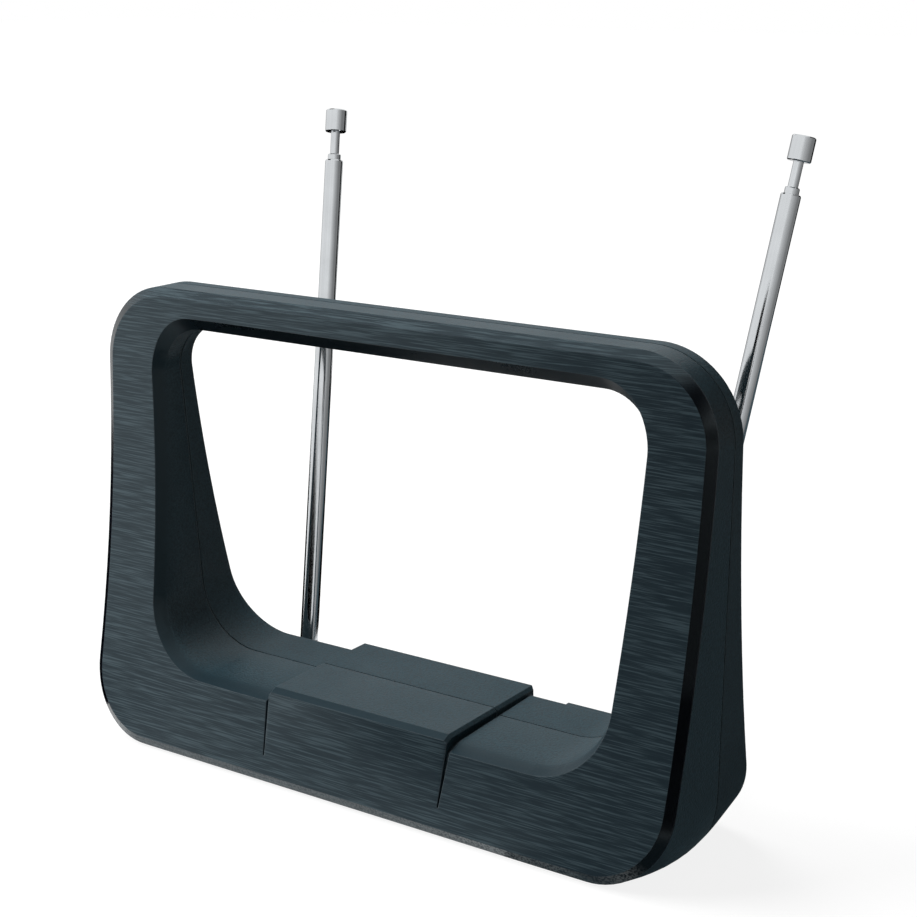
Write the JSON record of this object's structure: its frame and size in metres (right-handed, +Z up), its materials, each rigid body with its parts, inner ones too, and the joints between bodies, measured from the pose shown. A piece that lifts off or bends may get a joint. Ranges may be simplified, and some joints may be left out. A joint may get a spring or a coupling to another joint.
{
  "type": "indoor television antenna",
  "caption": "Leaning frame housing with a bevelled open window and a raised centre block, with telescopic rods on swivel forks behind it and a coax socket.",
  "frame": {"origin": "on the table under the middle of the whole object, rods included", "axes": "+Z up, +Y to the rear, +X to the right seen from the front"},
  "size_m": [0.2356, 0.1266, 0.2125],
  "materials": {
    "shell_front": "dark slate, fine horizontal brushing on the face, satin bevels",
    "shell_rear": "dark slate, fine matte grain",
    "foot_rubber": "matte",
    "screw_steel": "zinc plated",
    "loop_strip": "plain rolled strip",
    "board": "solder mask over glass laminate",
    "ferrite": "matte sintered",
    "copper_wire": "enamelled",
    "capacitor": "dipped",
    "socket_metal": "nickel plated",
    "insulator": "natural white",
    "contact_brass": "tinned edge",
    "lead_sheath": "soft sheath",
    "swivel_metal": "plated casting",
    "rod_chrome": "polished"
  },
  "bodies": {
    "base": {"front_shell": "shell_front", "rear_shell": "shell_rear", "feet": "foot_rubber", "case_screws": "screw_steel", "board_screws": "screw_steel", "uhf_loop": "loop_strip", "matching_board": "board", "balun_core": "ferrite", "balun_winding": "copper_wire", "coupling_capacitors": "capacitor", "coax_socket": "socket_metal", "socket_washer": "socket_metal", "socket_nut": "socket_metal", "socket_insulator": "insulator", "spindle_contact_left": "contact_brass", "rod_lead_left": "lead_sheath", "spindle_contact_right": "contact_brass", "rod_lead_right": "lead_sheath"},
    "swivel_left": {"swivel_fork_left": "swivel_metal", "spring_washer_left": "screw_steel", "spindle_nut_left": "screw_steel", "tilt_screw_left": "screw_steel", "tilt_nut_left": "screw_steel"},
    "rod_left": {"rod_lug_left": "swivel_metal", "outer_tube_left": "rod_chrome"},
    "middle_left": {"middle_tube_left": "rod_chrome"},
    "tip_left": {"tip_rod_left": "rod_chrome", "tip_cap_left": "rod_chrome"},
    "swivel_right": {"swivel_fork_right": "swivel_metal", "spring_washer_right": "screw_steel", "spindle_nut_right": "screw_steel", "tilt_screw_right": "screw_steel", "tilt_nut_right": "screw_steel"},
    "rod_right": {"rod_lug_right": "swivel_metal", "outer_tube_right": "rod_chrome"},
    "middle_right": {"middle_tube_right": "rod_chrome"},
    "tip_right": {"tip_rod_right": "rod_chrome", "tip_cap_right": "rod_chrome"}
  },
  "joints": [
    {"name": "swivel_left", "type": "hinge", "parent": "base", "child": "swivel_left", "pos_m": [-0.0751, 0.01179, 0.013], "axis": [0, -1, 0], "range_deg": [-5.5, 84.4]},
    {"name": "tilt_left", "type": "hinge", "parent": "swivel_left", "child": "rod_left", "pos_m": [-0.0751, 0.01179, 0.013], "axis": [-0.9953, 0, -0.0967], "range_deg": [-13.4, 76.5]},
    {"name": "middle_slide_left", "type": "slide", "parent": "rod_left", "child": "middle_left", "axis": [-0.0941, 0.2326, 0.968], "range_m": [0, 0.158]},
    {"name": "tip_slide_left", "type": "slide", "parent": "middle_left", "child": "tip_left", "axis": [-0.0941, 0.2326, 0.968], "range_m": [0, 0.158]},
    {"name": "swivel_right", "type": "hinge", "parent": "base", "child": "swivel_right", "pos_m": [0.0751, 0.01179, 0.013], "axis": [0, 1, 0], "range_deg": [-5.5, 84.4]},
    {"name": "tilt_right", "type": "hinge", "parent": "swivel_right", "child": "rod_right", "pos_m": [0.0751, 0.01179, 0.013], "axis": [-0.9953, 0, 0.0967], "range_deg": [-13.4, 76.5]},
    {"name": "middle_slide_right", "type": "slide", "parent": "rod_right", "child": "middle_right", "axis": [0.0941, 0.2326, 0.968], "range_m": [0, 0.158]},
    {"name": "tip_slide_right", "type": "slide", "parent": "middle_right", "child": "tip_right", "axis": [0.0941, 0.2326, 0.968], "range_m": [0, 0.158]}
  ]
}
